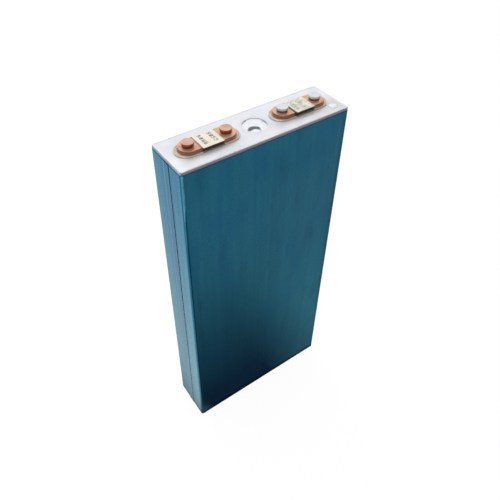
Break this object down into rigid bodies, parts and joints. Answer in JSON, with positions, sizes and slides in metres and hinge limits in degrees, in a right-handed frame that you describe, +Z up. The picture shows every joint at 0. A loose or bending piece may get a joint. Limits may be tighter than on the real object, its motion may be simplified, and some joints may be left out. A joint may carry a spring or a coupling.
{
  "type": "prismatic battery cell",
  "caption": "Tall prismatic battery cell in a blue film wrap, with obround copper terminals that carry stud heads, and a round burst vent between them.",
  "frame": {"origin": "centre of the base, on the plane the cell stands on", "axes": "+Z up through the lid; +X from the negative terminal to the positive terminal; -Y out of the broad front face"},
  "size_m": [0.1312, 0.0368, 0.2826],
  "materials": {
    "case_aluminium": "satin",
    "lid_aluminium": "satin",
    "vent_foil": "polished",
    "cap_aluminium": "satin",
    "stud_aluminium": "satin",
    "inner_aluminium": "satin",
    "terminal_copper": "satin",
    "inner_copper": "satin",
    "blue_film": "gloss",
    "clear_film": "gloss",
    "bag_film": "satin",
    "gasket_plastic": "satin",
    "insulator_plastic": "satin",
    "seal_rubber": "matte",
    "label_film": "satin",
    "anode_coating": "matte",
    "cathode_coating": "matte",
    "separator_film": "matte",
    "tape_film": "satin"
  },
  "bodies": {
    "root": {"case": "case_aluminium", "wrap_film": "blue_film", "base_film": "blue_film", "lid": "lid_aluminium", "vent_disc": "vent_foil", "vent_cover_film": "clear_film", "fill_plug": "seal_rubber", "fill_cap": "cap_aluminium", "negative_gasket": "gasket_plastic", "negative_terminal_plate": "terminal_copper", "negative_studs": "terminal_copper", "negative_label": "label_film", "negative_seal_rings": "seal_rubber", "negative_lower_insulator": "insulator_plastic", "negative_collector": "inner_copper", "negative_tabs": "inner_copper", "positive_gasket": "gasket_plastic", "positive_terminal_plate": "terminal_copper", "positive_studs": "stud_aluminium", "positive_label": "label_film", "positive_seal_rings": "seal_rubber", "positive_lower_insulator": "insulator_plastic", "positive_collector": "inner_aluminium", "positive_tabs": "inner_aluminium", "core_bag": "bag_film", "core_tray": "insulator_plastic", "front_core_anode": "anode_coating", "front_core_cathode": "cathode_coating", "front_core_separators": "separator_film", "rear_core_anode": "anode_coating", "rear_core_cathode": "cathode_coating", "rear_core_separators": "separator_film", "core_tapes": "tape_film"}
  },
  "joints": []
}
